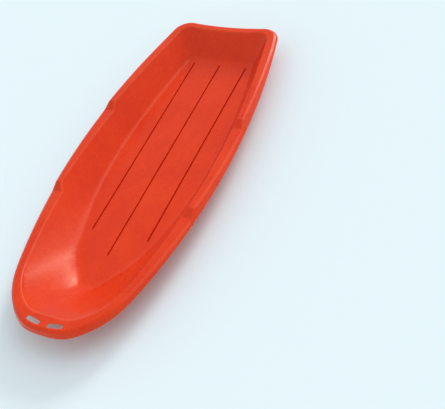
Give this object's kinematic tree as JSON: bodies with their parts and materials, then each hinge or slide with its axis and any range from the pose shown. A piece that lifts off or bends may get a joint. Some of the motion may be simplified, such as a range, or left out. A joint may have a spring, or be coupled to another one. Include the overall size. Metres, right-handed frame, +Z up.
{
  "type": "plastic toboggan sled",
  "caption": "Thin moulded plastic snow sled: open boat-shaped tub, rolled rim with stepped grips, tow slots in the bow and grooved runners under a flat floor.",
  "frame": {"origin": "middle of the footprint, on the ground that the runners stand on", "axes": "+Z up, +Y to the stern, -Y to the bow, X across"},
  "size_m": [0.5138, 1.2145, 0.101],
  "materials": {
    "moulded_plastic": "satin moulded polyethylene, red-orange"
  },
  "bodies": {
    "root": {"floor_pan": "moulded_plastic", "left_runner": "moulded_plastic", "centre_runner": "moulded_plastic", "right_runner": "moulded_plastic", "left_side": "moulded_plastic", "right_side": "moulded_plastic", "transom": "moulded_plastic", "bow": "moulded_plastic", "left_rim": "moulded_plastic", "right_rim": "moulded_plastic", "stern_rim": "moulded_plastic", "bow_rim": "moulded_plastic"}
  },
  "joints": []
}
